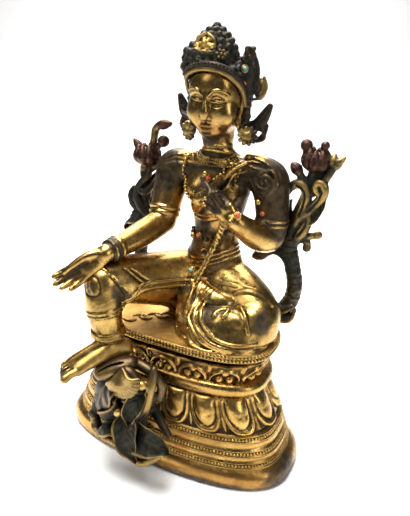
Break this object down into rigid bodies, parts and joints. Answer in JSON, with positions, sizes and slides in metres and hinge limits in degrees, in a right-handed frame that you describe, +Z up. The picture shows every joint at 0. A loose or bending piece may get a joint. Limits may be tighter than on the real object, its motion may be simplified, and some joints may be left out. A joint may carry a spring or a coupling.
{
  "type": "seated deity figure on lotus pedestal",
  "caption": "Gilt bronze seated figure with one leg pendant on a foot lotus, on a tiered oval lotus pedestal, flanked by two lotus sprays.",
  "frame": {"origin": "middle of the pedestal's underside", "axes": "+Z up through the figure, -Y the way the figure faces, +X towards the figure's left hand"},
  "size_m": [0.1812, 0.1329, 0.3],
  "materials": {
    "pedestal_gilt": "worn gilding with dark wax in the recesses",
    "figure_gilt": "polished gilding, dark patina on the hair, shoulders and arms",
    "dark_bronze": "dark green and black patina with gilt edges",
    "spray_bronze": "dark patina, red-brown flowers, traces of gilding",
    "turquoise": "satin stone",
    "coral": "satin stone"
  },
  "bodies": {
    "root": {"pedestal": "pedestal_gilt", "figure": "figure_gilt", "foot_lotus": "dark_bronze", "left_lotus_spray": "spray_bronze", "right_lotus_spray": "spray_bronze", "crown_stone": "turquoise", "crown_coral": "coral", "pendant_coral": "coral", "armlet_coral": "coral", "bracelet_coral": "coral", "belt_coral": "coral", "hip_stone": "turquoise"}
  },
  "joints": []
}
